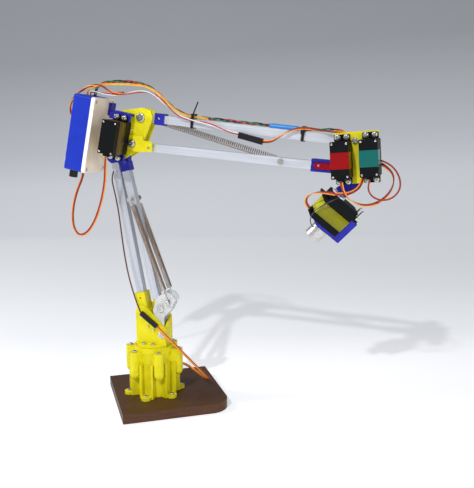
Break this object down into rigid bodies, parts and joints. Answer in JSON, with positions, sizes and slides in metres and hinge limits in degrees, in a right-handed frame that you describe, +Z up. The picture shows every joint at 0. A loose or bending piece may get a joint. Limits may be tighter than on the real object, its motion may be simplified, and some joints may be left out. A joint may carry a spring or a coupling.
{
  "type": "servo robot arm",
  "caption": "Desktop servo arm of square tubes in two parallelograms, with balance springs, a control box at the elbow and an electromagnet tool.",
  "frame": {"origin": "the yaw axis at the underside of the base plate", "axes": "+Z up, +X from the base towards the tool in the plane of the arm, +Y to the arm's left"},
  "size_m": [0.4159, 0.1903, 0.415],
  "materials": {
    "yellow_plastic": "printed, satin, fine layer lines",
    "violet_plastic": "printed, satin",
    "case_blue": "printed, satin",
    "lid_cream": "moulded, matt",
    "servo_black": "moulded, fine grain",
    "tube_aluminium": "extruded, satin",
    "screw_steel": "zinc plated",
    "spring_steel": "drawn wire",
    "base_board": "dark brown faced board, satin",
    "clear_plastic": "clear acrylic, cut edges",
    "horn_red": "anodised, satin",
    "horn_white": "moulded nylon",
    "black_plastic": "moulded, satin",
    "lead_jacket": "flat three-wire lead in brown, red and orange",
    "bundle_jacket": "loose wires of several colours",
    "fine_jacket": "thin dark lead",
    "sleeve_blue": "shrunk tubing, satin",
    "board_green": "solder mask",
    "magnet_steel": "turned, satin",
    "nut_white": "moulded nylon",
    "button_white": "moulded, satin",
    "band_red": "glossy label film",
    "band_teal": "glossy label film",
    "band_olive": "glossy label film",
    "band_gold": "glossy label film",
    "wire_brown": "wire insulation",
    "wire_red": "wire insulation",
    "wire_orange": "wire insulation",
    "wire_yellow": "wire insulation",
    "wire_green": "wire insulation",
    "wire_white": "wire insulation",
    "wire_black": "wire insulation"
  },
  "bodies": {
    "base": {"base_plate": "base_board", "base_housing": "yellow_plastic", "base_cover": "yellow_plastic", "base_screws": "screw_steel", "yaw_servo": "servo_black"},
    "turret": {"turntable": "yellow_plastic", "tower": "yellow_plastic", "clear_plates": "clear_plastic", "tower_screws": "screw_steel", "tower_bolts": "screw_steel", "tower_connector": "black_plastic", "base_lead": "lead_jacket"},
    "lower_left": {"lower_left_tube": "tube_aluminium", "lower_left_clamp": "yellow_plastic", "lower_left_head": "violet_plastic", "tower_lead": "fine_jacket"},
    "lower_right": {"lower_right_tube": "tube_aluminium", "lower_right_foot": "yellow_plastic", "lower_right_head": "violet_plastic", "elbow_horn": "horn_white", "lower_spring_post": "screw_steel", "lower_springs": "spring_steel"},
    "elbow": {"elbow_plate_front": "yellow_plastic", "elbow_plate_back": "yellow_plastic", "elbow_servo": "servo_black", "elbow_lug_screws": "screw_steel", "servo_bracket": "violet_plastic", "elbow_bolts": "screw_steel", "box_case": "case_blue", "box_lid": "lid_cream", "lid_screws": "screw_steel", "circuit_board": "board_green", "dc_jack": "black_plastic", "elbow_lead": "lead_jacket"},
    "button": {"box_button": "button_white"},
    "forearm_top": {"forearm_top_tube": "tube_aluminium", "forearm_top_sleeve": "violet_plastic", "cable_ties": "black_plastic", "wire_connector": "black_plastic", "heat_shrink": "sleeve_blue", "arm_bundle": "bundle_jacket"},
    "forearm_bottom": {"forearm_bottom_tube": "tube_aluminium", "levers": "yellow_plastic", "wrist_link": "violet_plastic", "wrist_horn": "horn_red", "forearm_bottom_bolts": "screw_steel", "forearm_spring": "spring_steel"},
    "wrist": {"red_servo": "servo_black", "teal_servo": "servo_black", "wrist_lug_screws": "screw_steel", "wrist_plate": "yellow_plastic", "wrist_pivot_bolt": "screw_steel", "red_lead": "lead_jacket", "teal_lead": "fine_jacket"},
    "pitch": {"pitch_bracket": "violet_plastic"},
    "tool": {"tool_servo": "servo_black", "angle_bracket": "violet_plastic", "magnet": "magnet_steel", "tool_screws": "screw_steel", "tool_lead": "lead_jacket"}
  },
  "joints": [
    {"name": "base_yaw", "type": "hinge", "parent": "base", "child": "turret", "pos_m": [0, 0, 0.0774], "axis": [0, 0, 1], "range_deg": [-90, 90], "deforming": ["base_lead"]},
    {"name": "shoulder", "type": "hinge", "parent": "turret", "child": "lower_left", "pos_m": [-0.009, 0, 0.118], "axis": [0, 1, 0], "range_deg": [-20, 15], "deforming": ["tower_lead"]},
    {"name": "lower_link", "type": "hinge", "parent": "turret", "child": "lower_right", "pos_m": [0.0145, 0, 0.1265], "axis": [0, 1, 0], "range_deg": [-20, 15], "deforming": ["lower_springs"]},
    {"name": "elbow_level", "type": "hinge", "parent": "lower_left", "child": "elbow", "pos_m": [-0.0582, 0, 0.3256], "axis": [0, 1, 0], "range_deg": [-15, 20], "deforming": ["elbow_lead"]},
    {"name": "forearm", "type": "hinge", "parent": "elbow", "child": "forearm_top", "pos_m": [-0.0072, 0, 0.3681], "axis": [0, 1, 0], "range_deg": [-25, 35], "deforming": ["arm_bundle"]},
    {"name": "forearm_link", "type": "hinge", "parent": "elbow", "child": "forearm_bottom", "pos_m": [-0.0188, 0, 0.3365], "axis": [0, 1, 0], "range_deg": [-25, 35], "deforming": ["forearm_spring"]},
    {"name": "wrist_level", "type": "hinge", "parent": "forearm_top", "child": "wrist", "pos_m": [0.2569, 0, 0.342], "axis": [0, 1, 0], "range_deg": [-35, 25]},
    {"name": "wrist_pitch", "type": "hinge", "parent": "wrist", "child": "pitch", "pos_m": [0.2762, 0, 0.3134], "axis": [0, -1, 0], "range_deg": [0, 80], "deforming": ["red_lead", "teal_lead"]},
    {"name": "tool_roll", "type": "hinge", "parent": "pitch", "child": "tool", "pos_m": [0.2393, -0.0158, 0.2803], "axis": [0.6947, 0, 0.7193], "range_deg": [-90, 90], "deforming": ["tool_lead"]},
    {"name": "button_press", "type": "slide", "parent": "elbow", "child": "button", "axis": [0.9792, 0, -0.2028], "range_m": [0, 0.0015], "stiffness_N_per_m": 800, "springref_m": -0.0003}
  ],
  "couplings": [
    {"joint": "lower_link", "follows": "shoulder", "ratio": 1},
    {"joint": "elbow_level", "follows": "shoulder", "ratio": -1},
    {"joint": "forearm_link", "follows": "forearm", "ratio": 1},
    {"joint": "wrist_level", "follows": "forearm", "ratio": -1}
  ]
}
